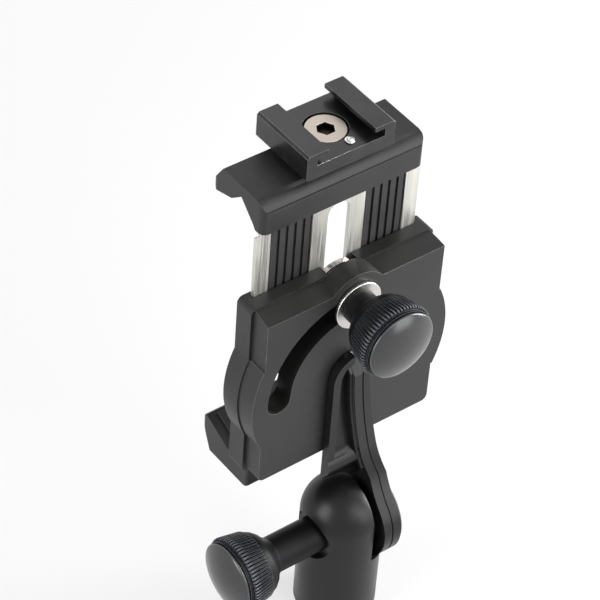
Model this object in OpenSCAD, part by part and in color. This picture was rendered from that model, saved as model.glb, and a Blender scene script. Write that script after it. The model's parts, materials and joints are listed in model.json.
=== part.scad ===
// Tripod phone mount adapter: a phone clamp that pans on a curved arm and tilts on a post.
// Millimetres. Origin at the mouth of the tripod socket, +Z up the post, +Y away from the knobs.

/* [Post] */
// Diameter of the post
post_d = 20.6; // [18:0.1:24]
// Height of the tilt axis above the socket mouth
tilt_z = 27.7; // [24:0.1:34]
// Height of the centre of the round top above the tilt axis
dome_rise = 3.3; // [0:0.1:5]
// Place of the flat side that the arm bears on
flat_x = 2.2; // [1:0.1:4]
// Diameter of the recess around the tilt knob's shank
spotface_d = 12.6; // [10:0.1:14]
// Thickness of the rubber ring under the foot
foot_pad_t = 1.2; // [0.8:0.1:2]

/* [Arm] */
// Radius of the ear that turns on the tilt axis
ear_r = 11.8; // [10:0.1:13]
// Side of the ear that faces the post
ear_x = 4.4; // [3.8:0.1:5]
// Thickness of the ear
spine_w = 4.9; // [4:0.1:6]
// Width of the arm at its top
spine_top_w = 4.1; // [3.5:0.1:4.8]
// Height of the pan pivot above the socket mouth
pan_z = 77.9; // [76:0.1:80]
// Thickness of the arm on the back of the housing
arm_t = 3.7; // [3:0.1:4.2]
// Radius of the long curve from the arm into the ear
neck_r = 27; // [20:0.5:32]
// Diameter of the pivot boss on the arm
boss_d = 8; // [7:0.1:9]

/* [Housing] */
// Width of the housing
housing_w = 52; // [50:0.5:56]
// Radius of the round cheeks, about the pan pivot
cheek_r = 28.6; // [28:0.1:29.5]
// Underside of the housing
housing_z0 = 53.2; // [52:0.1:54]
// Top edge of the back cover
cover_z1 = 103.8; // [102:0.1:104.2]
// Top edge of the front body
body_z1 = 105.3; // [105:0.1:105.5]
// Outer face of the back cover
cover_y = 1.8; // [1.6:0.1:2.4]
// Parting plane between the back cover and the front body
parting_y = 7.2; // [6.8:0.1:7.6]
// Face of the housing that the phone lies on
phone_y = 12.6; // [12.4:0.1:13]
// Radius of the arc slot, about the pan pivot
slot_r = 20.6; // [20:0.1:22]
// Width of the arc slot
slot_w = 6.5; // [5:0.1:7]

/* [Slide plate] */
// Width of the steel plate
plate_w = 46; // [44:0.1:47]
// Thickness of the steel plate
plate_t = 1; // [0.8:0.1:1.2]
// Lower edge of the plate
plate_z0 = 76.6; // [76:0.1:80]
// Width of the strip along each side of the plate
side_strip = 4; // [3:0.1:5]
// Width of the strip on each side of the centre slot
mid_strip = 4.3; // [3:0.1:5]
// Width of the centre slot
centre_slot = 6.2; // [5:0.1:7]
// Number of ribs in each grip pad
rib_count = 5; // [3:1:7]

/* [Jaws] */
// Width of both jaws
jaw_w = 45.2; // [45:0.1:50]
// Lower edge of the upper jaw
jaw_z0 = 124.1; // [123.5:0.1:125]
// Top of the upper jaw
jaw_z1 = 132.8; // [132.5:0.1:134]
// Near face of the jaws
jaw_y = 9.2; // [8.8:0.1:9.6]
// Depth of the jaws, near face to lip
jaw_depth = 19.1; // [18:0.1:21]

/* [Cold shoe] */
// Outer width of the shoe
shoe_w = 24.4; // [23:0.1:26]
// Length of the shoe
shoe_len = 18.8; // [17:0.1:20]
// Thickness of the shoe's floor
shoe_floor = 3.7; // [3:0.1:4.5]
// Width of the foot channel
channel_w = 18.7; // [18.6:0.1:18.9]
// Height of the foot channel
channel_h = 2.1; // [2:0.1:2.3]
// Gap between the lips
lip_gap = 13; // [12.5:0.1:13.5]
// Thickness of the lips
lip_t = 1.2; // [1:0.1:1.6]

/* [Knobs] */
// Diameter over the knurl
knob_d = 19.2; // [18.4:0.1:20]
// Number of ridges round each knob
knurl_count = 66; // [40:1:72]
// Length of the knurled band
knurl_len = 6; // [5:0.1:7]
// Outer face of the lock knob
lock_face_y = -14.6; // [-16:0.1:-13]
// Outer face of the tilt knob
tilt_face_x = -34; // [-36:0.1:-32]
// Diameter of the studs
stud_d = 5; // [4:0.1:6]

/* [Hidden] */
$fn = 96;

gap = 0.15;           // running clearance between sliding faces
bore_gap = 0.1;       // running clearance all round a shaft
over = 1;             // how far a cutter passes the face it opens
black = [0.1, 0.1, 0.1];
dark = [0.2, 0.2, 0.21];
steel = [0.75, 0.74, 0.71];

post_r = post_d / 2;
dome_z = tilt_z + dome_rise;
ear_x1 = ear_x + spine_w;
ear_boss_r = 7.5;
ear_boss_x = ear_x - 1;
ear_cap_t = 1;
ear_cap_r = 11.2;
ledge_r = ear_r + 0.6;
spotface_x = -8;
bush_d = 9.5;
bush_len = 11;
socket_d = 5.2;
foot_z = foot_pad_t;

arm_y1 = cover_y - 0.3;
arm_y0 = arm_y1 - arm_t;
back_neck_r = 6;      // curve from the arm's back into the ear
floor_y = 0.8;        // floor of the hollow between the rim and the spine
rim_y = -0.7;
rim_w = 2.1;
rim_r = 6.8;
rim_x = 0.2;
rim_z = pan_z - 0.5;
hub_r = 5.4;
step_w = 0.8;         // ledge along the left side of the spine
step_d = 0.7;
line_x = 2.2;         // shallow line down the front of the spine
line_w = 0.45;
line_d = 0.25;
boss_y1 = 8.85;
arm_top_z = pan_z + 6.2;
arm_top_drop = 4.9;

lock_z = pan_z + slot_r;
washer_d = 12.7;
washer_t = 0.9;
washer_y0 = cover_y - 0.1 - washer_t;
slot_end = 180.3;     // degrees, measured from +X towards +Z
arch_r = 8.8;
cheek_half = 12;
corner_r = 1.6;

lever_y0 = 8.9;
lever_y1 = 10.3;
lever_tip_r = 27.6;
lever_end_r = lever_tip_r - slot_r;
lever_hub_r = 7;
cavity_y1 = 10.5;

plate_y0 = 10.7;
plate_y1 = plate_y0 + plate_t;
window_in = centre_slot / 2 + mid_strip;
window_out = plate_w / 2 - side_strip;
window_z0 = 84;
window_z1 = 127;
slot_top_z = 122.6;
plate_step_z = 122.4;
plate_z1 = 131;
rivet_z = 129;
channel_z0 = 56.5;
lip_x = 21.4;
stop_d = 2;
stop_x = 14;
stop_z = 80;
stop_y0 = 9.2;
jaw_open = 13.1;      // travel of the jaw from rest to each stop
jaw_close = 18.5;
pad_t = 0.75;

jaw_lip_y = jaw_y + jaw_depth;
vee_y = 17.5;
jaw_mouth = jaw_z0 + 1.1;
low_jaw_z1 = 54.4;
low_jaw_z0 = 43.7;

// Mouths of the jaws and their pads: place in Y, height above the mouth towards the back of the jaw.
upper_vee = [[12, -1.1], [12.8, 0], [vee_y, 4.6], [21, 1.7], [26.8, 0]];
lower_vee = [[13.9, 0], [vee_y, 4.2], [26.5, 0]];
upper_pad = [[13.3, 0.45], [vee_y, 4.6], [21, 1.7], [25.2, 0.45], [25.1, 0.1], [20.7, 1.25],
             [vee_y, 3.6], [13.9, 0.1]];
lower_pad = [[14.5, 0.6], [vee_y, 4.2], [25.7, 0.36], [25.4, -0.1], [vee_y, 3.3], [14.8, 0.1]];

shoe_x = 1;
shoe_y0 = 9.45;
shoe_yc = shoe_y0 + shoe_len / 2;
shoe_z0 = jaw_z1 + 1.5;         // the shoe stands on a low riser of the jaw
shoe_z1 = shoe_z0 + shoe_floor;
shoe_top = shoe_z1 + channel_h + lip_t;
screw_head_d = 9.7;
screw_head_h = 2;
screw_pocket_d = 10.7;
screw_pocket_h = 2.2;
insert_d = 7.5;
insert_z0 = 130.3;
pin_z0 = 131.5;
pin_x = 2.7;
pin_y = 12.35;

// Prisms whose outline lies in the YZ, XZ and XY planes.
module along_x(x0, x1) translate([x0, 0, 0]) rotate([90, 0, 90]) linear_extrude(x1 - x0) children();
module along_y(y0, y1) translate([0, y1, 0]) rotate([90, 0, 0]) linear_extrude(y1 - y0) children();
module along_z(z0, z1) translate([0, 0, z0]) linear_extrude(z1 - z0) children();

module rod_x(x0, x1, d, z) translate([x0, 0, z]) rotate([0, 90, 0]) cylinder(h = x1 - x0, d = d);
module rod_y(y0, y1, d, x, z) translate([x, y1, z]) rotate([90, 0, 0]) cylinder(h = y1 - y0, d = d);
module rod_z(z0, z1, d, x, y) translate([x, y, z0]) cylinder(h = z1 - z0, d = d);

// Rectangle from x0..x1 by y0..y1 with true round corners.
module round_rect(x0, x1, y0, y1, r) {
  translate([x0 + r, y0]) square([x1 - x0 - 2 * r, y1 - y0]);
  translate([x0, y0 + r]) square([x1 - x0, y1 - y0 - 2 * r]);
  for (x = [x0 + r, x1 - r], y = [y0 + r, y1 - r]) translate([x, y]) circle(r, $fn = 48);
}

// What a round of radius r takes off a square corner that points to +x +y.
module corner_waste(r) difference() {
  square(r + over);
  circle(r, $fn = 48);
}

// Post with a round top, a flat and a ledge for the arm's ear.
module tilt_post() color(black) difference() {
  union() {
    rod_z(foot_z, dome_z, post_d, 0, 0);
    translate([0, 0, dome_z]) sphere(post_r);
  }
  along_x(flat_x, post_r + over) union() {
    translate([0, tilt_z]) circle(ledge_r);
    translate([-ledge_r, tilt_z]) square([2 * ledge_r, post_d]);
  }
  rod_x(-post_r - over, spotface_x, spotface_d, tilt_z);
  rod_x(-post_r, post_r, stud_d + 2 * bore_gap, tilt_z);
  rod_z(0, bush_len, bush_d, 0, 0);
}

// Threaded bush with a 1/4 inch tapping bore.
module tripod_bush() color(steel) difference() {
  rod_z(0, bush_len, bush_d, 0, 0);
  rod_z(-over, bush_len + over, socket_d, 0, 0);
}

module foot_pad() color(black) difference() {
  rod_z(0, foot_pad_t, post_d - 0.6, 0, 0);
  rod_z(-over, foot_pad_t + over, bush_d, 0, 0);
}

module tilt_washer() color(dark) difference() {
  rod_x(flat_x, ear_boss_x - 0.1, 2 * ear_boss_r, tilt_z);
  rod_x(flat_x - over, ear_x, stud_d + 2 * bore_gap, tilt_z);
}

// A line down the front of the arm: a smooth S from the pivot to the ear, moved right by dx,
// and by up to grow more towards the ear.
spine_top_x = -1.95;
spine_z1 = 82;
spine_z0 = 43;
spine_steps = 16;
function spine_point(t, dx, grow) = [
  spine_top_x + (ear_x - spine_top_x) * pow(t, 1.7) + dx + grow * (1 - pow(1 - t, 2.5)),
  spine_z1 - t * (spine_z1 - spine_z0)];
function spine_line(dx, grow) = concat(
  [[spine_top_x + dx, arm_top_z + over]],
  [for (i = [0:spine_steps]) spine_point(i / spine_steps, dx, grow)],
  [[ear_x + dx + grow, tilt_z - ear_r - over]]);
function reversed(points) = [for (i = [len(points) - 1:-1:0]) points[i]];
module strip(dx0, dx1, grow) polygon(concat(spine_line(dx0, 0), reversed(spine_line(dx1, grow))));

// Side view of the arm, its front drawn in by inset: chamfered top, bar, and the ear's disc,
// which the front and the back flow into.
neck_h = sqrt(pow(ear_r + neck_r, 2) - pow(neck_r - arm_y0, 2));
back_neck_h = sqrt(pow(ear_r + back_neck_r, 2) - pow(back_neck_r + arm_y1, 2));
module arm_side(inset) difference() {
  union() {
    translate([0, tilt_z]) circle(ear_r - inset, $fn = 128);
    polygon([
      [0, tilt_z],
      [0, tilt_z] + [arm_y0 - neck_r, neck_h] * (ear_r - inset) / (ear_r + neck_r),
      [arm_y0 + inset, tilt_z + neck_h], [arm_y0 + inset, arm_top_z - arm_top_drop + inset],
      [arm_y1, arm_top_z], [arm_y1, tilt_z + back_neck_h],
      [0, tilt_z] + [arm_y1 + back_neck_r, back_neck_h] * (ear_r - inset) / (ear_r + back_neck_r)]);
  }
  translate([arm_y0 - neck_r, tilt_z + neck_h]) circle(neck_r + inset, $fn = 256);
  translate([arm_y1 + back_neck_r, tilt_z + back_neck_h]) circle(back_neck_r, $fn = 96);
}

module arm_strip(dx0, dx1, grow, inset) intersection() {
  along_y(-16, 16) strip(dx0, dx1, grow);
  along_x(-10, 20) arm_side(inset);
}

// Web on the left of the spine, from the pivot down to the top of the post.
module web_outline() difference() {
  union() {
    intersection() {
      translate([rim_x, rim_z]) circle(rim_r);
      translate([-10, rim_z]) square([10 + spine_top_x + 1, 10]);
    }
    polygon(concat(
      [[-1.1, 44], [rim_x - rim_r, 45], [rim_x - rim_r, rim_z], [spine_top_x + 1, rim_z]],
      [for (i = [2:spine_steps]) spine_point(i / spine_steps, 1, 0)], [[ear_x + 1, 41], [3.6, 41.2]]));
  }
  translate([0, dome_z]) circle(post_r + 0.6);
}

// The web's rim: a band down its left edge and round its top.
module rim_outline() difference() {
  intersection() {
    web_outline();
    translate([-10, 50]) square([20, 50]);
  }
  translate([rim_x, rim_z]) circle(rim_r - rim_w);
  translate([rim_x - rim_r + rim_w, 0]) square([20, rim_z]);
}

// Side view of the web: a thin floor behind the hollow, and a nose below it.
module web_side() polygon([
  [arm_y1, 40], [arm_y1, 90], [floor_y, 90], [floor_y, 53.6], [-0.9, 51.9], [-1.5, 50.6], [-1.6, 49.4],
  [-1.2, 48.2], [0.9, 45.2], [0.9, 40]]);

module tilt_arm() color(black) difference() {
  union() {
    arm_strip(0, line_x, 0, 0);
    arm_strip(line_x, line_x + line_w, 0, line_d);
    arm_strip(line_x + line_w, spine_top_w, spine_w - spine_top_w, 0);
    intersection() {
      arm_strip(-step_w, 0.5, 0, step_d);
      along_z(46, 100) square(60, center = true);
    }
    intersection() {
      along_y(-4, arm_y1) web_outline();
      along_x(-20, 20) web_side();
    }
    along_y(rim_y, arm_y1) rim_outline();
    rod_y(floor_y, arm_y1, 2 * hub_r, 0, pan_z);
    rod_x(ear_boss_x, ear_x, 2 * ear_boss_r, tilt_z);
    rod_y(arm_y1, boss_y1, boss_d, 0, pan_z);
  }
  rod_x(0, 20, stud_d + 2 * bore_gap, tilt_z);
  translate([ear_x1 - 2.6, 0, tilt_z]) rotate([0, 90, 0]) cylinder(h = 5, d = 9.4, $fn = 6);
  rod_y(2, boss_y1 + over, 4, 0, pan_z);
}

module ear_nut() color(steel) difference() {
  translate([ear_x1 - 2.5, 0, tilt_z]) rotate([0, 90, 0]) cylinder(h = 2.4, d = 9.2, $fn = 6);
  rod_x(0, 20, stud_d + 2 * bore_gap, tilt_z);
}

module ear_cap() color(dark) rod_x(ear_x1, ear_x1 + ear_cap_t, 2 * ear_cap_r, tilt_z);

module pan_washer() color(steel) difference() {
  rod_y(arm_y1, cover_y - 0.1, 2 * hub_r - 0.6, 0, pan_z);
  rod_y(arm_y1 - over, cover_y + over, boss_d + 2 * bore_gap, 0, pan_z);
}

// Steel lever inside the housing: hub on the arm's boss, round end on the lock stud.
module lever_plate() color(steel) difference() {
  along_y(lever_y0, lever_y1) {
    translate([0, pan_z]) circle(lever_hub_r);
    translate([0, lock_z]) circle(lever_end_r);
    translate([-lever_end_r, pan_z]) square([2 * lever_end_r, slot_r]);
  }
  rod_y(lever_y0 - over, lever_y1 + over, stud_d + 2 * bore_gap, 0, lock_z);
  rod_y(lever_y0 - over, lever_y1 + over, 4, 0, pan_z);
  translate([0, lever_y1, pan_z]) rotate([90, 0, 0]) cylinder(h = 1.2, d1 = 6.6, d2 = 4);
}

module pivot_screw() color(steel) {
  translate([0, lever_y1, pan_z]) rotate([90, 0, 0]) cylinder(h = 1.2, d1 = 6.5, d2 = 3.9);
  rod_y(2.4, lever_y1 - 1, 3.9, 0, pan_z);
}

// Flanged bush that rides in the arc slot and takes the lock stud.
module lock_bush() color(steel) difference() {
  union() {
    rod_y(cover_y + 0.3, lever_y0, slot_w - 2 * bore_gap, 0, lock_z);
    rod_y(parting_y + 0.1, lever_y0, 9.4, 0, lock_z);
  }
  rod_y(0, lever_y1, stud_d + 2 * bore_gap, 0, lock_z);
}

module lock_washer() color(steel) difference() {
  rod_y(washer_y0, washer_y0 + washer_t, washer_d, 0, lock_z);
  rod_y(washer_y0 - over, cover_y, stud_d + 2 * bore_gap, 0, lock_z);
}

// Knob along +Z, its cap's edge near z = 0: a thin collar, a ridged bell widest near the collar,
// a round shoulder and the shank.
cap_d = 17.8;
cap_edge_z = -0.3;
cap_lip = 0.3;         // the cap's foot is this much smaller all round than its edge
cap_seat_z = 0.9;
cap_ball_r = 20;
cap_rise = cap_ball_r - sqrt(pow(cap_ball_r, 2) - pow(cap_d / 2, 2));
collar_z = 0.5;
collar_r = 9.05;
groove_r = 8.75;
ridge_h = 0.4;
knob_r = knob_d / 2;
knurl_z0 = 1.35;
bell_z = knurl_z0 + 0.9;
bell_slope = 0.17;
knurl_z1 = knurl_z0 + knurl_len;
band_r = knob_r - bell_slope * (knurl_z1 - bell_z);
root_r = band_r - ridge_h;
module bell(cut) rotate_extrude($fn = 144) polygon([
  [0, knurl_z0], [knob_r - 0.4 - cut, knurl_z0], [knob_r - cut, knurl_z0 + 0.4], [knob_r - cut, bell_z],
  [band_r - cut, knurl_z1], [0, knurl_z1]]);
module knob(shank_d, length) difference() {
  union() {
    rotate_extrude($fn = 144) polygon([[0, collar_z], [collar_r, collar_z], [collar_r, 1], [groove_r, 1],
      [groove_r, knurl_z0 + 0.1], [0, knurl_z0 + 0.1]]);
    bell(ridge_h);
    intersection() {
      bell(0);
      translate([0, 0, knurl_z0 + 0.1]) linear_extrude(knurl_len - 0.1) for (i = [0:knurl_count - 1])
        rotate(i * 360 / knurl_count) polygon([
          [knob_r - 3, -0.32], [root_r, -0.32], [knob_r + 0.1, -0.2],
          [knob_r + 0.1, 0.2], [root_r, 0.32], [knob_r - 3, 0.32]]);
    }
    rotate_extrude($fn = 144) polygon([[0, knurl_z1 - 0.5], [root_r, knurl_z1 - 0.5], [root_r, knurl_z1],
      [root_r - 0.1, knurl_z1 + 0.8], [root_r - 0.6, knurl_z1 + 1.9], [root_r - 1.5, knurl_z1 + 3],
      [root_r - 2.7, knurl_z1 + 3.9], [shank_d / 2 + 0.5, knurl_z1 + 4.6], [shank_d / 2, knurl_z1 + 5.4],
      [0, knurl_z1 + 5.4]]);
    cylinder(h = length, d = shank_d);
  }
  translate([0, 0, -over]) cylinder(h = over + cap_seat_z, d = cap_d - 2 * cap_lip + 0.1);
  translate([0, 0, 3]) cylinder(h = length, d = stud_d);
}

// Domed disc that closes the face of a knob.
module knob_cap() intersection() {
  union() {
    translate([0, 0, -4]) cylinder(h = 4 + collar_z - 0.3, d = cap_d);
    cylinder(h = cap_seat_z, d = cap_d - 2 * cap_lip);
  }
  translate([0, 0, cap_edge_z - cap_rise + cap_ball_r]) sphere(cap_ball_r, $fn = 160);
}

module at_lock() translate([0, lock_face_y, lock_z]) rotate([-90, 0, 0]) children();
module at_tilt() translate([tilt_face_x, 0, tilt_z]) rotate([0, 90, 0]) children();

module lock_knob() color(black) at_lock() knob(8.6, washer_y0 - lock_face_y);
module lock_knob_cap() color(dark) at_lock() knob_cap();
module lock_stud() color(steel) rod_y(lock_face_y + 3, lever_y1 - 0.1, stud_d, 0, lock_z);

module tilt_knob() color(black) at_tilt() knob(9.3, spotface_x - tilt_face_x - 0.1);
module tilt_knob_cap() color(dark) at_tilt() knob_cap();
module tilt_stud() color(steel) rod_x(tilt_face_x + 3, ear_x1 - 0.2, stud_d, tilt_z);

// Outline shared by both halves of the housing, its sides and its cheeks drawn in.
module housing_outline(top, inset, cheek_inset) {
  round_rect(-housing_w / 2 + inset, housing_w / 2 - inset, housing_z0 + inset, top, corner_r);
  intersection() {
    translate([0, pan_z]) circle(cheek_r - cheek_inset);
    translate([0, pan_z]) square([70, 2 * cheek_half], center = true);
  }
}

// Quarter of a ring slot with round ends, about the pan pivot.
module arc_slot_outline(width) translate([0, pan_z]) {
  reach = 2 * slot_r;
  intersection() {
    difference() {
      circle(slot_r + width / 2);
      circle(slot_r - width / 2);
    }
    polygon([[0, 0], [0, reach], [-reach, reach], [-reach, 0], reach * [cos(slot_end), sin(slot_end)]]);
  }
  for (a = [90, slot_end]) translate(slot_r * [cos(a), sin(a)]) circle(d = width);
}

cover_screw_places = [[18, 97], [18, 61], [-18, 61], [0, 60]];
module back_cover() color(black) difference() {
  union() {
    intersection() {
      along_y(cover_y, parting_y) housing_outline(body_z1, 0.8, 0.35);
      along_x(-30, 30) polygon([[cover_y, 50], [cover_y, cover_z1], [parting_y, cover_z1 + 0.9],
                                [parting_y, 50]]);
    }
    rod_y(cover_y, parting_y, 2 * arch_r, 0, lock_z);
  }
  along_y(cover_y - over, parting_y + over) arc_slot_outline(slot_w);
  rod_y(0, 10, boss_d + 2 * bore_gap, 0, pan_z);
  for (p = cover_screw_places) rod_y(cover_y + 1.4, parting_y + over, 2, p[0], p[1]);
}

// Room for the lever to swing from upright to level.
module lever_room() intersection() {
  translate([0, pan_z]) circle(lever_tip_r + gap);
  union() {
    translate([-30, pan_z]) square([30, 30]);
    translate([-lever_end_r - 0.3, pan_z]) square([2 * lever_end_r + 0.6, 30]);
    translate([-30, pan_z - lever_end_r - 0.7]) square([30, 2 * lever_end_r]);
    translate([0, pan_z]) circle(lever_hub_r + 0.4);
  }
}

module front_body() color(black) difference() {
  along_y(parting_y, phone_y) housing_outline(body_z1, 0, 0);
  along_y(parting_y - over, cavity_y1 + 0.05) lever_room();
  translate([-plate_w / 2 - gap, plate_y0 - gap, channel_z0])
    cube([plate_w + 2 * gap, plate_t + 2 * gap, 60]);
  translate([-lip_x, plate_y0, channel_z0]) cube([2 * lip_x, 5, 60]);
  for (p = cover_screw_places) {
    rod_y(parting_y - over, 9, 2, p[0], p[1]);
    rod_y(9, plate_y0, 4, p[0], p[1]);
  }
  for (x = [-12, 12]) {
    rod_z(50, 54.6, 1.8, x, 10);
    rod_z(54.6, channel_z0 + over, 3.1, x, 10);
  }
  translate([stop_x - stop_d / 2 - gap, stop_y0 - gap, stop_z - stop_d / 2 - jaw_close - 0.5])
    cube([stop_d + 2 * gap, 3, jaw_close + jaw_open + stop_d + 0.6]);
}

module cover_screws() color(steel) for (p = cover_screw_places) {
  rod_y(cover_y + 1.8, 9, 2, p[0], p[1]);
  rod_y(9, 10.3, 3.9, p[0], p[1]);
}

// Pin riveted in the slide plate, which runs in a closed groove of the front body.
module stop_pin() color(steel) rod_y(stop_y0, plate_y1, stop_d, stop_x, stop_z);

// Side view of a jaw, from its mouth to its back.
module jaw_outline(mouth, back, near, rounding, vee) {
  dir = sign(back - mouth);
  difference() {
    polygon(concat(
      [[near, back], [near, mouth + dir * vee[0][1]]], [for (p = vee) [p[0], mouth + dir * p[1]]],
      [[jaw_lip_y, mouth + dir * 2], [jaw_lip_y - 3.7, back]]));
    translate([near + rounding, back - dir * rounding])
      scale([1, dir]) mirror([1, 0]) corner_waste(rounding);
  }
}

module jaw_plan(near) round_rect(-jaw_w / 2, jaw_w / 2, near, jaw_lip_y, 1.8);

module vee_pad(mouth, dir, points) along_x(-20, 20) polygon([for (p = points) [p[0], mouth + dir * p[1]]]);

module lower_jaw() color(black) difference() {
  intersection() {
    along_x(-jaw_w / 2, jaw_w / 2) jaw_outline(low_jaw_z1, low_jaw_z0, jaw_y - 0.5, 2.4, lower_vee);
    along_z(low_jaw_z0, low_jaw_z1) jaw_plan(jaw_y - 0.5);
  }
  translate([-50, 0, housing_z0]) cube([100, phone_y, 10]);
  for (x = [-12, 12]) rod_z(47, 60, 1.8, x, 10);
}

module lower_jaw_pad() color(dark) vee_pad(low_jaw_z1, -1, lower_pad);

module lower_jaw_screws() color(steel) for (x = [-12, 12]) {
  rod_z(47.5, 54.6, 1.8, x, 10);
  rod_z(54.6, 56.3, 3, x, 10);
}

// Steel slide: side strips, centre slot with a round top and two windows.
module slide_plate() color(steel) along_y(plate_y0, plate_y1) difference() {
  union() {
    translate([-plate_w / 2, plate_z0]) square([plate_w, plate_step_z - plate_z0]);
    translate([-plate_w / 2 + 1, plate_z0]) square([plate_w - 2, plate_z1 - plate_z0]);
  }
  translate([-centre_slot / 2, 80]) square([centre_slot, slot_top_z - centre_slot / 2 - 80]);
  translate([0, slot_top_z - centre_slot / 2]) circle(d = centre_slot);
  for (side = [-1, 1]) translate([side * (window_in + window_out) / 2, (window_z0 + window_z1) / 2])
    square([window_out - window_in, window_z1 - window_z0], center = true);
  for (x = [-15, 15]) translate([x, rivet_z]) circle(d = 2);
  translate([stop_x, stop_z]) circle(d = stop_d);
}

// Ribbed rubber pad that fills a window from the phone side.
module grip_pad() color(black) {
  rib_pitch = (window_out - window_in) / rib_count;
  along_y(plate_y1, plate_y1 + pad_t)
    round_rect(window_in - 1.2, window_out + 1.2, window_z0 - 1.2, jaw_z0 - 0.2, 0.8);
  along_y(plate_y1 - 0.2, plate_y1)
    translate([window_in + 0.1, window_z0 + 0.1]) square([window_out - window_in - 0.2, 41.2]);
  for (i = [0:rib_count - 1]) along_y(plate_y0 + 0.25, plate_y1)
    translate([window_in + (i + 0.18) * rib_pitch, window_z0 + 0.1]) square([rib_pitch * 0.64, 41.2]);
}

module grip_pad_right() grip_pad();
module grip_pad_left() mirror([1, 0, 0]) grip_pad();

module upper_jaw() color(black) difference() {
  union() {
    intersection() {
      along_x(-jaw_w / 2, jaw_w / 2) jaw_outline(jaw_mouth, jaw_z1, jaw_y, 3.4, upper_vee);
      along_z(jaw_z0, jaw_z1) jaw_plan(jaw_y);
    }
    translate([shoe_x - 9, 11.2, 131]) cube([18, 14.4, shoe_z0 - 131]);
  }
  translate([-plate_w / 2 + 1, plate_y0, jaw_z0 - over])
    cube([plate_w - 2, plate_t, plate_z1 + 0.2 + over - jaw_z0]);
  translate([-30, jaw_y - over, 130.2]) cube([60, over + 0.35, 0.25]);
  for (x = [-15, 15]) rod_y(plate_y0 - 1, plate_y1 + 2, 2, x, rivet_z);
  rod_z(insert_z0, shoe_z0 + over, insert_d, shoe_x, shoe_yc);
  rod_z(pin_z0, shoe_z0 + over, 1.6, pin_x, pin_y);
}

module upper_jaw_pad() color(dark) vee_pad(jaw_mouth, 1, upper_pad);

module jaw_rivets() color(steel) for (x = [-15, 15]) rod_y(plate_y0 - 1, plate_y1 + 2, 2, x, rivet_z);

// Foot channel of an accessory shoe, open at both ends.
module shoe_outline() {
  half = shoe_w / 2;
  edge = 0.6;
  difference() {
    polygon([[-half + edge, shoe_z0], [half - edge, shoe_z0], [half, shoe_z0 + edge],
             [half, shoe_top - edge], [half - edge, shoe_top], [-half + edge, shoe_top],
             [-half, shoe_top - edge], [-half, shoe_z0 + edge]]);
    translate([-channel_w / 2, shoe_z1]) square([channel_w, channel_h]);
    translate([-lip_gap / 2, shoe_z1]) square([lip_gap, 10]);
  }
}

module cold_shoe() color(black) difference() {
  translate([shoe_x, 0, 0]) along_y(shoe_y0, shoe_y0 + shoe_len) shoe_outline();
  rod_z(shoe_z1 - screw_pocket_h, shoe_top, screw_pocket_d, shoe_x, shoe_yc);
  rod_z(shoe_z0 - over, shoe_top, stud_d + 2 * bore_gap, shoe_x, shoe_yc);
  rod_z(shoe_z0 - over, shoe_top, 1.6, pin_x, pin_y);
}

module shoe_screw() color(steel) difference() {
  union() {
    rod_z(shoe_z1 - screw_pocket_h, shoe_z1 - screw_pocket_h + screw_head_h, screw_head_d, shoe_x, shoe_yc);
    rod_z(insert_z0 + 0.2, shoe_z1 - screw_pocket_h, stud_d, shoe_x, shoe_yc);
  }
  translate([shoe_x, shoe_yc, shoe_z1 - 1.7]) cylinder(h = 5, d = 4.6, $fn = 6);
}

module shoe_nut() color("gold") difference() {
  rod_z(insert_z0, shoe_z0, insert_d, shoe_x, shoe_yc);
  rod_z(insert_z0 - over, shoe_z0 + over, stud_d + 2 * bore_gap, shoe_x, shoe_yc);
}

module shoe_pin() color(steel) {
  rod_z(pin_z0, shoe_z1 + 0.5, 1.6, pin_x, pin_y);
}

tilt_post();
tripod_bush();
foot_pad();
tilt_washer();
tilt_arm();
ear_nut();
ear_cap();
pan_washer();
lever_plate();
pivot_screw();
lock_bush();
lock_washer();
lock_knob();
lock_knob_cap();
lock_stud();
tilt_knob();
tilt_knob_cap();
tilt_stud();
back_cover();
front_body();
cover_screws();
stop_pin();
lower_jaw();
lower_jaw_pad();
lower_jaw_screws();
slide_plate();
grip_pad_left();
grip_pad_right();
upper_jaw();
upper_jaw_pad();
jaw_rivets();
cold_shoe();
shoe_screw();
shoe_nut();
shoe_pin();
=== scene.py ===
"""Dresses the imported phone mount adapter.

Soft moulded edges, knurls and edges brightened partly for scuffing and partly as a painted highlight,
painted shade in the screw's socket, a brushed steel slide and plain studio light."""

import json
import math

import bmesh
import bpy
from mathutils import Matrix, Vector


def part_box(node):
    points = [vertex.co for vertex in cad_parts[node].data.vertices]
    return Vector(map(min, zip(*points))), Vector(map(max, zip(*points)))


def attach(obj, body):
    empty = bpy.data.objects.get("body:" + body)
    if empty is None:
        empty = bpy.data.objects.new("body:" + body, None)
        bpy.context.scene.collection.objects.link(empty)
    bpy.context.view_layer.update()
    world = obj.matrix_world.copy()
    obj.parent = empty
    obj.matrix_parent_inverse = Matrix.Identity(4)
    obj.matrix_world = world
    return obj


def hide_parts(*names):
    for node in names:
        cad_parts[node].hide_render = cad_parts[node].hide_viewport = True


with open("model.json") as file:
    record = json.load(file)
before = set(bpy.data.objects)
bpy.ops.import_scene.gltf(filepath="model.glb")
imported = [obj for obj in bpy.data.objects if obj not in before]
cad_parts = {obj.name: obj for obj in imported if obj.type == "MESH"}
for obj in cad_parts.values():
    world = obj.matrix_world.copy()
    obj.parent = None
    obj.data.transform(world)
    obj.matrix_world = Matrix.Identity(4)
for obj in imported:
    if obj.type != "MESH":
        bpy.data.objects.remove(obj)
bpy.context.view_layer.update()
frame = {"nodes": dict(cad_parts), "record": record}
body_of_node = {
    node: body for body, nodes in frame["record"]["behaviour"]["bodies"].items() for node in nodes
}
MM = 0.001

# ---------------------------------------------------------------- materials


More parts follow.
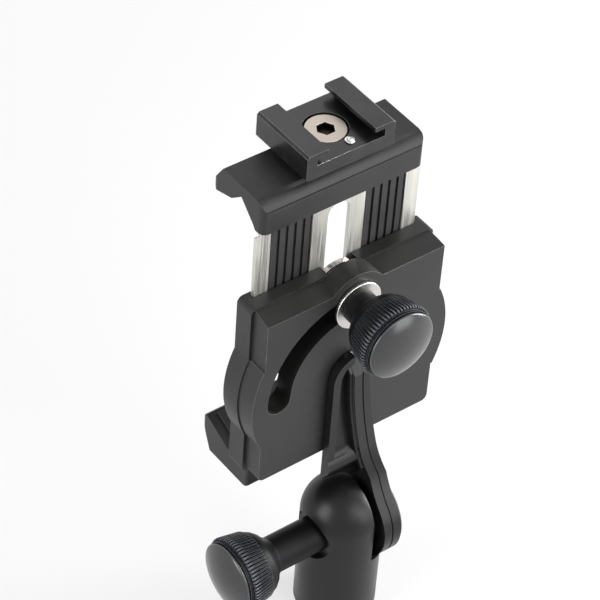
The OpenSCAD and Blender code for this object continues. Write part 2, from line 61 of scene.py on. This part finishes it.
class Shader:
    """A material's node tree, with short calls for the nodes that the finishes share."""

    def __init__(self, name):
        self.material = bpy.data.materials.new(name)
        self.material.use_nodes = True
        self.tree = self.material.node_tree
        self.tree.nodes.clear()
        self.out = self.node("ShaderNodeOutputMaterial")
        self.surface = self.node("ShaderNodeBsdfPrincipled")
        self.link(self.surface, "BSDF", self.out, "Surface")
        self.place = self.node("ShaderNodeTexCoord")

    def node(self, kind, **settings):
        made = self.tree.nodes.new(kind)
        for key, value in settings.items():
            setattr(made, key, value)
        return made

    def link(self, a, output, b, target):
        self.tree.links.new(a.outputs[output], b.inputs[target])

    def noise(self, scale, detail=2.0, stretch=(1, 1, 1)):
        """Noise in object space. scale is in features per metre."""
        mapping = self.node("ShaderNodeMapping")
        mapping.inputs["Scale"].default_value = stretch
        self.link(self.place, "Object", mapping, "Vector")
        made = self.node("ShaderNodeTexNoise")
        made.inputs["Scale"].default_value = scale
        made.inputs["Detail"].default_value = detail
        self.link(mapping, "Vector", made, "Vector")
        return made

    def ramp(self, source, low, high, at=(0.35, 0.65)):
        """The source's factor, stretched between two places, as a colour from low to high."""
        made = self.node("ShaderNodeValToRGB")
        for stop, place, value in zip(made.color_ramp.elements, at, (low, high)):
            stop.position = place
            stop.color = (*value, 1) if isinstance(value, tuple) else (value, value, value, 1)
        self.tree.links.new(source, made.inputs["Fac"])
        return made.outputs["Color"]

    def mix(self, factor, a, b, blend="MIX"):
        made = self.node("ShaderNodeMix", data_type="RGBA", blend_type=blend)
        for socket, value in ((0, factor), (6, a), (7, b)):
            if isinstance(value, bpy.types.NodeSocket):
                self.tree.links.new(value, made.inputs[socket])
            elif isinstance(value, tuple):
                made.inputs[socket].default_value = (*value, 1)
            else:
                made.inputs[socket].default_value = value
        return made.outputs[2]

    def multiply(self, a, b):
        made = self.node("ShaderNodeMath", operation="MULTIPLY")
        for socket, value in zip(made.inputs, (a, b)):
            if isinstance(value, bpy.types.NodeSocket):
                self.tree.links.new(value, socket)
            else:
                socket.default_value = value
        return made.outputs[0]

    def edge(self):
        """The factor that rounded() writes on bevelled edges and knurl crests, for scuffing and a
        painted edge highlight.
        """
        return self.node("ShaderNodeAttribute", attribute_name="wear_and_highlight").outputs["Fac"]

    def bump(self, *layers):
        """Stacked bump layers, each (height socket, strength, depth in metres)."""
        normal = None
        for height, strength, depth in layers:
            made = self.node("ShaderNodeBump")
            made.inputs["Strength"].default_value = strength
            made.inputs["Distance"].default_value = depth
            self.tree.links.new(height, made.inputs["Height"])
            if normal is not None:
                self.tree.links.new(normal, made.inputs["Normal"])
            normal = made.outputs["Normal"]
        self.tree.links.new(normal, self.surface.inputs["Normal"])

    def set(self, **values):
        """Sockets of the surface by name, with underscores for spaces."""
        for key, value in values.items():
            socket = self.surface.inputs[key.replace("_", " ")]
            if isinstance(value, bpy.types.NodeSocket):
                self.tree.links.new(value, socket)
            elif isinstance(value, tuple):
                socket.default_value = (*value, 1)
            else:
                socket.default_value = value


def moulded(name, colour, edge_wear_and_highlight, rough, grain=0.28, scale=5200, gloss=0.3):
    """Spark-eroded moulded plastic: fine grain, faint flow marks, edges a little brighter, partly from
    scuffing and partly a painted edge highlight.
    """
    s = Shader(name)
    grit = s.noise(scale, 3)
    flow = s.noise(95, 4)
    specks = s.noise(900, 2)
    tone = s.ramp(flow.outputs["Fac"], tuple(0.86 * c for c in colour), tuple(1.12 * c for c in colour))
    dust = s.ramp(specks.outputs["Fac"], 0.0, 0.03, (0.68, 0.84))
    tone = s.mix(dust, tone, (0.30, 0.29, 0.27))
    # Bevelled edges, broken by specks, take the edge colour: scuffing and a painted edge highlight.
    rub_and_highlight = s.multiply(s.edge(), s.ramp(specks.outputs["Fac"], 0.55, 1.0, (0.3, 0.7)))
    s.set(
        Base_Color=s.mix(rub_and_highlight, tone, edge_wear_and_highlight),
        Roughness=s.ramp(flow.outputs["Fac"], rough - 0.05, rough + 0.07),
        Specular_IOR_Level=gloss,
    )
    s.bump((grit.outputs["Fac"], grain, 0.00005), (specks.outputs["Fac"], 0.06, 0.00008))
    return s.material


def satin_metal(name, colour, edge_wear_and_highlight, rough, metallic=1.0):
    """Fine blasted and anodised alloy, with bright edges, partly from scuffing and partly a painted edge
    highlight.
    """
    s = Shader(name)
    grit = s.noise(7800, 2)
    cloud = s.noise(140, 3)
    tone = s.ramp(cloud.outputs["Fac"], tuple(0.85 * c for c in colour), tuple(1.15 * c for c in colour))
    rub_and_highlight = s.multiply(s.edge(), s.ramp(grit.outputs["Fac"], 0.35, 0.9, (0.3, 0.7)))
    s.set(
        Base_Color=s.mix(rub_and_highlight, tone, edge_wear_and_highlight),
        Metallic=metallic,
        Roughness=s.ramp(cloud.outputs["Fac"], rough - 0.04, rough + 0.06),
    )
    s.bump((grit.outputs["Fac"], 0.16, 0.00003))
    return s.material


def brushed(name, colour, rough, stretch, edge_wear_and_highlight=None):
    """Rolled or turned steel: long fine scratches along one direction, and bevelled edges, where a
    second colour is given, in that colour: partly scuffing and partly a painted edge highlight.
    """
    s = Shader(name)
    lines = s.noise(3800, 2, stretch)
    cloud = s.noise(160, 3)
    tone = s.ramp(lines.outputs["Fac"], tuple(0.78 * c for c in colour), colour, (0.3, 0.7))
    tone = s.mix(s.ramp(cloud.outputs["Fac"], 0.0, 0.25), tone, tuple(0.7 * c for c in colour))
    s.set(
        Base_Color=s.mix(s.edge(), tone, edge_wear_and_highlight or colour),
        Metallic=1.0,
        Roughness=s.ramp(lines.outputs["Fac"], rough - 0.06, rough + 0.1),
    )
    s.bump((lines.outputs["Fac"], 0.12, 0.00002))
    return s.material


def shade_below(material, low, high, shade_colour):
    """Darkens a metal between two heights: painted shade in a blind socket."""
    tree = material.node_tree
    surface = tree.nodes["Principled BSDF"]
    source = surface.inputs["Base Color"].links[0].from_socket
    place = tree.nodes.new("ShaderNodeTexCoord")
    split = tree.nodes.new("ShaderNodeSeparateXYZ")
    tree.links.new(place.outputs["Object"], split.inputs[0])
    depth = tree.nodes.new("ShaderNodeMapRange")
    depth.inputs["From Min"].default_value, depth.inputs["From Max"].default_value = low, high
    tree.links.new(split.outputs["Z"], depth.inputs["Value"])
    mix = tree.nodes.new("ShaderNodeMix")
    mix.data_type = "RGBA"
    tree.links.new(depth.outputs["Result"], mix.inputs[0])
    mix.inputs[6].default_value = (*shade_colour, 1)
    tree.links.new(source, mix.inputs[7])
    tree.links.new(mix.outputs[2], surface.inputs["Base Color"])


def gloss_cap(name, colour, rough):
    """Polished moulded cap with faint hairlines and dust, and a brighter rim, partly from scuffing and
    partly a painted edge highlight.
    """
    s = Shader(name)
    hair = s.noise(700, 4)
    dust = s.noise(2600, 2)
    haze = s.ramp(dust.outputs["Fac"], 0.0, 0.3, (0.4, 0.7))
    tone = s.mix(haze, colour, tuple(1.25 * c for c in colour))
    s.set(
        Base_Color=s.mix(s.edge(), tone, tuple(2.5 * c for c in colour)),
        Roughness=s.ramp(hair.outputs["Fac"], rough - 0.03, rough + 0.05),
        Specular_IOR_Level=0.65,
    )
    s.bump((hair.outputs["Fac"], 0.02, 0.00002))
    return s.material


BLACK = (0.019, 0.019, 0.0185)
# In moulded and satin_metal finishes the colour after the base colour is what bevelled edges take:
# scuffing and a painted edge highlight.
MATERIALS = {
    "black_plastic": moulded("moulded_black", BLACK, (0.21, 0.21, 0.20), 0.44),
    "black_alloy": moulded(
        "knurl_black", (0.006, 0.0063, 0.007), (0.19, 0.20, 0.235), 0.42, 0.1, gloss=0.12
    ),
    "cap_grey": gloss_cap("cap_grey", (0.017, 0.0176, 0.019), 0.2),
    "rubber": moulded("rubber_black", (0.024, 0.024, 0.025), (0.05, 0.05, 0.05), 0.6, 0.4, 3600, 0.3),
    "nylon": moulded("nylon_black", (0.012, 0.012, 0.012), (0.03, 0.03, 0.03), 0.42, 0.1),
    "stainless": brushed("steel_brushed", (0.66, 0.65, 0.605), 0.46, (1, 1, 0.02)),
    "plated_steel": brushed("steel_plated", (0.60, 0.59, 0.56), 0.3, (1, 0.05, 1)),
    "brass": brushed("brass_turned", (0.71, 0.55, 0.27), 0.3, (1, 1, 0.05)),
}
SHOE = satin_metal("shoe_anodised", (0.042, 0.042, 0.0425), (0.32, 0.32, 0.32), 0.27, 0.75)
POST = moulded("moulded_post", (0.008, 0.008, 0.008), (0.06, 0.06, 0.058), 0.33, 0.12, gloss=0.27)
# The screw's last colour is its edges': scuffing and a painted edge highlight.
SCREW = brushed("screw_turned", (0.52, 0.465, 0.40), 0.38, (1, 1, 0.3), (0.62, 0.58, 0.52))
# Painted shade in the screw's hex socket: full dark from 0.6 mm below its top, fading out by 0.15 mm.
SOCKET_DARK, SOCKET_LIGHT = 0.6 * MM, 0.15 * MM  # depths below the screw's top
screw_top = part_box("shoe_screw")[1][2]
shade_below(SCREW, screw_top - SOCKET_DARK, screw_top - SOCKET_LIGHT, (0.03, 0.028, 0.025))
TURNED = brushed("steel_turned", (0.70, 0.69, 0.66), 0.24, (1, 0.04, 1))


def slot_of(node):
    return frame["nodes"][node].material_slots[0].material.name.split(".")[0]


slots = {node: slot_of(node) for node in frame["nodes"]}
for node, ob in frame["nodes"].items():
    ob.material_slots[0].material = MATERIALS[slots[node]]


# ---------------------------------------------------------------- pieces


def piece(name, mesh, body, material, sharp=40):
    """Puts a finished mesh in the scene on its body, smooth but for its sharp edges."""
    ob = bpy.data.objects.new(name, mesh)
    bpy.context.scene.collection.objects.link(ob)
    mesh.materials.clear()
    mesh.materials.append(material)
    mesh.shade_smooth()
    mesh.set_sharp_from_angle(angle=math.radians(sharp))
    ob.modifiers.new("normals", "WEIGHTED_NORMAL").keep_sharp = True
    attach(ob, body)
    return ob


WELD, FLAT_ANGLE = 0.002, 0.4  # mm, and degrees between faces that count as one


def rounded(node, radius, material=None, segments=3, angle=28, face_wear_and_highlight=None):
    """A copy of a CAD node with its outer edges rounded, which stands for the node.

    radius is in mm. Edges sharper than angle, in degrees, are rounded. The last argument gives, for a
    face's centre, how much scuffing and painted highlight that face takes."""
    bm = bmesh.new()
    bm.from_mesh(frame["nodes"][node].data)
    wear_and_highlight = bm.faces.layers.float.new("wear_and_highlight")
    bmesh.ops.remove_doubles(bm, verts=bm.verts, dist=WELD * MM)
    bmesh.ops.dissolve_limit(
        bm, angle_limit=math.radians(FLAT_ANGLE), verts=bm.verts, edges=bm.edges, delimit={"NORMAL"}
    )
    edges = [
        e
        for e in bm.edges
        if e.is_manifold and e.calc_face_angle(0) > math.radians(angle) and e.is_convex
    ]
    made = bmesh.ops.bevel(
        bm, geom=edges, offset=radius * MM, offset_type="OFFSET", segments=segments,
        profile=0.5, affect="EDGES", clamp_overlap=True,
    )
    for f in bm.faces if face_wear_and_highlight else ():
        f[wear_and_highlight] = face_wear_and_highlight(f.calc_center_median())
    # Bevelled faces take the full factor: scuffing and a painted edge highlight.
    for f in made["faces"]:
        f[wear_and_highlight] = 1.0
    mesh = bpy.data.meshes.new(node + "_rounded")
    bm.to_mesh(mesh)
    bm.free()
    finish = material or MATERIALS[slots[node]]
    ob = piece(node + "_rounded", mesh, body_of_node[node], finish)
    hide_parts(node)
    return ob


# Node: radius of its edges in mm, and its own finish or None for its slot's.
MOULDED_EDGES = {
    "back_cover": (0.3, None), "front_body": (0.45, None), "upper_jaw": (0.5, None),
    "lower_jaw": (0.5, None), "ear_cap": (0.35, None), "tilt_post": (0.35, POST),
    "tilt_arm": (0.3, POST), "cold_shoe": (0.22, SHOE), "shoe_screw": (0.15, SCREW),
}
SMALL_EDGES = {"slide_plate": 0.12, "pivot_screw": 0.12, "lock_bush": 0.12}
TURNED_EDGES = {"lock_washer": 0.2, "lever_plate": 0.3}
SOFT_EDGES = {"foot_pad": 0.1, "upper_jaw_pad": 0.1, "lower_jaw_pad": 0.1}
RIB_EDGES = {"grip_pad_left": 0.32, "grip_pad_right": 0.32}
for node, (radius, finish) in MOULDED_EDGES.items():
    rounded(node, radius, finish)
for node, radius in SMALL_EDGES.items():
    rounded(node, radius, segments=2)
for node, radius in TURNED_EDGES.items():
    rounded(node, radius, TURNED)
for node, radius in SOFT_EDGES.items():
    rounded(node, radius, segments=2)
for node, radius in RIB_EDGES.items():
    rounded(node, radius)

# The crests of the knurled teeth are brightened, partly scuffing and partly a painted highlight on the
# ridges; the valleys and the shank are not.
KNURL_FOOT, KNURL_CREST, CREST_WEAR_AND_HIGHLIGHT = 9.15 * MM, 9.6 * MM, 0.75
TOOTH_EDGE, CAP_EDGE = 0.07, 0.25
for knob, axis in (("lock_knob", 1), ("tilt_knob", 0)):
    low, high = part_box(knob)
    middle = Vector([(a + b) / 2 for a, b in zip(low, high)])

    def crest(place, axis=axis, middle=middle):
        off = place - middle
        off[axis] = 0
        share = (off.length - KNURL_FOOT) / (KNURL_CREST - KNURL_FOOT)
        return CREST_WEAR_AND_HIGHLIGHT * min(1, max(0, share))

    rounded(knob, TOOTH_EDGE, segments=2, angle=20, face_wear_and_highlight=crest)
    rounded(knob + "_cap", CAP_EDGE)


def turned(name, profile, centre, around=32):
    """A mesh turned about a vertical axis from (radius, height) points in mm, closed at both ends."""
    bm = bmesh.new()
    rings = []
    for radius, height in profile:
        if radius == 0:
            rings.append([bm.verts.new((centre[0], centre[1], height * MM))])
            continue
        angles = [2 * math.pi * i / around for i in range(around)]
        rings.append([
            bm.verts.new((
                centre[0] + radius * MM * math.cos(a), centre[1] + radius * MM * math.sin(a), height * MM
            ))
            for a in angles
        ])
    for low, high in zip(rings, rings[1:]):
        for i in range(around):
            j = (i + 1) % around
            if len(low) == 1:
                bm.faces.new((low[0], high[j], high[i]))
            elif len(high) == 1:
                bm.faces.new((low[i], low[j], high[0]))
            else:
                bm.faces.new((low[i], low[j], high[j], high[i]))
    bmesh.ops.recalc_face_normals(bm, faces=bm.faces)
    mesh = bpy.data.meshes.new(name)
    bm.to_mesh(mesh)
    bm.free()
    return mesh


# The stop pin of the shoe: a shank in its hole, and a small domed head with a rim.
pin_low, pin_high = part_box("shoe_pin")
pin_foot, pin_top = pin_low[2] / MM, pin_high[2] / MM
PIN = (
    (0, pin_foot), (0.6, pin_foot), (0.78, pin_foot + 0.2), (0.78, pin_top - 0.48),
    (1.12, pin_top - 0.45),
    (1.2, pin_top - 0.3), (1.1, pin_top - 0.12), (0.8, pin_top - 0.1), (0.74, pin_top + 0.1),
    (0.6, pin_top + 0.3), (0.35, pin_top + 0.42), (0, pin_top + 0.47),
)
pin_centre = [(a + b) / 2 for a, b in zip(pin_low, pin_high)]
pin = piece(
    "shoe_pin_turned", turned("shoe_pin_turned", PIN, pin_centre), body_of_node["shoe_pin"],
    TURNED, sharp=50,
)
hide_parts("shoe_pin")

# ---------------------------------------------------------------- studio


def area_light(name, place, target, size, power):
    """A rectangular softbox at a place, turned to its target."""
    data = bpy.data.lights.new(name, "AREA")
    data.shape, data.size, data.size_y, data.energy = "RECTANGLE", size[0], size[1], power
    ob = bpy.data.objects.new(name, data)
    bpy.context.scene.collection.objects.link(ob)
    ob.location = place
    ob.rotation_euler = (Vector(target) - Vector(place)).to_track_quat("-Z", "Y").to_euler()
    return ob


def seen(tree):
    """1 on a ray from the camera, from gloss or through glass, else 0."""
    path = tree.nodes.new("ShaderNodeLightPath")
    most = path.outputs["Is Camera Ray"]
    for name in ("Is Glossy Ray", "Is Transmission Ray"):
        larger = tree.nodes.new("ShaderNodeMath")
        larger.operation = "MAXIMUM"
        tree.links.new(most, larger.inputs[0])
        tree.links.new(path.outputs[name], larger.inputs[1])
        most = larger.outputs[0]
    return most


def join(tree, factor, plain, white, output):
    """Mixes two shaders by a factor into an output."""
    mix = tree.nodes.new("ShaderNodeMixShader")
    tree.links.new(factor, mix.inputs["Fac"])
    tree.links.new(plain, mix.inputs[1])
    tree.links.new(white, mix.inputs[2])
    tree.links.new(mix.outputs[0], output.inputs["Surface"])


WORLD_LIGHT = 0.3
world = bpy.data.worlds.new("studio")
bpy.context.scene.world = world
world.use_nodes = True
tree = world.node_tree
tree.nodes.clear()
dim, bright = tree.nodes.new("ShaderNodeBackground"), tree.nodes.new("ShaderNodeBackground")
for background, strength in ((dim, WORLD_LIGHT), (bright, 1.0)):
    background.inputs["Color"].default_value = (1, 1, 1, 1)
    background.inputs["Strength"].default_value = strength
join(tree, seen(tree), dim.outputs[0], bright.outputs[0], tree.nodes.new("ShaderNodeOutputWorld"))

# Softboxes: name, azimuth and elevation in degrees, distance, width, height, watts.
CENTRE = Vector((0, 0.005, 0.08))
LIGHTS = (
    ("key", -80, 30, 0.75, 0.45, 0.45, 2.0),
    ("right", -20, 12, 0.60, 0.30, 0.45, 6.5),
    ("left", 178, 15, 0.60, 0.28, 0.45, 2.4),
    ("front", -64, 3, 0.60, 0.28, 0.45, 1.4),
    ("back", 75, 42, 0.95, 0.70, 0.45, 1.0),
)
for name, azimuth, elevation, distance, width, height, power in LIGHTS:
    flat = math.cos(math.radians(elevation))
    way = Vector((
        flat * math.cos(math.radians(azimuth)), flat * math.sin(math.radians(azimuth)),
        math.sin(math.radians(elevation)),
    ))
    area_light(name, CENTRE + distance * way, CENTRE, (width, height), power)

# The floor is lit and shaded round the object, and plain white to the eye further out.
FLOOR_HALF, SHADE_END, WHITE_START, NEAR_WHITE = 3.0, 0.2, 0.5, 0.6
mesh = bpy.data.meshes.new("floor")
mesh.from_pydata(
    [(x * FLOOR_HALF, y * FLOOR_HALF, 0) for x, y in ((-1, -1), (1, -1), (1, 1), (-1, 1))],
    [], [(0, 1, 2, 3)],
)
floor = bpy.data.objects.new("floor", mesh)
bpy.context.scene.collection.objects.link(floor)
floor_shader = bpy.data.materials.new("floor_white")
floor_shader.use_nodes = True
tree = floor_shader.node_tree
diffuse = tree.nodes["Principled BSDF"]
diffuse.inputs["Base Color"].default_value = (0.88, 0.88, 0.88, 1)
diffuse.inputs["Roughness"].default_value = 0.9
diffuse.inputs["Specular IOR Level"].default_value = 0.1
white = tree.nodes.new("ShaderNodeEmission")
white.inputs["Color"].default_value, white.inputs["Strength"].default_value = (1, 1, 1, 1), 1.0
place = tree.nodes.new("ShaderNodeTexCoord")
reach = tree.nodes.new("ShaderNodeVectorMath")
reach.operation = "LENGTH"
tree.links.new(place.outputs["Object"], reach.inputs[0])
fade = tree.nodes.new("ShaderNodeMapRange")
fade.inputs["From Min"].default_value, fade.inputs["From Max"].default_value = SHADE_END, WHITE_START
tree.links.new(reach.outputs["Value"], fade.inputs["Value"])
fade.inputs["To Min"].default_value = NEAR_WHITE
share = tree.nodes.new("ShaderNodeMath")
share.operation = "MULTIPLY"
tree.links.new(fade.outputs["Result"], share.inputs[0])
tree.links.new(seen(tree), share.inputs[1])
join(tree, share.outputs[0], diffuse.outputs[0], white.outputs[0], tree.nodes["Material Output"])
mesh.materials.append(floor_shader)

# ---------------------------------------------------------------- camera

camera = bpy.data.objects.new("camera", bpy.data.cameras.new("camera"))
bpy.context.scene.collection.objects.link(camera)
CAMERA_PLACE = (-0.304846, -0.346216, 0.528692)
LOOK_AZIMUTH, LOOK_DOWN, LEAN = 50.381, 42.947, 4.360  # degrees: the way it looks, and its roll
turn = (
    Matrix.Rotation(math.radians(LOOK_AZIMUTH - 90), 4, "Z")
    @ Matrix.Rotation(math.radians(90 - LOOK_DOWN), 4, "X")
    @ Matrix.Rotation(math.radians(LEAN), 4, "Z")
)
camera.matrix_world = Matrix.Translation(CAMERA_PLACE) @ turn
camera.data.sensor_width = 36
camera.data.lens = 166.73
camera.data.clip_start, camera.data.clip_end = 0.01, 20
bpy.context.scene.camera = camera
bpy.context.scene.view_settings.view_transform = "Standard"
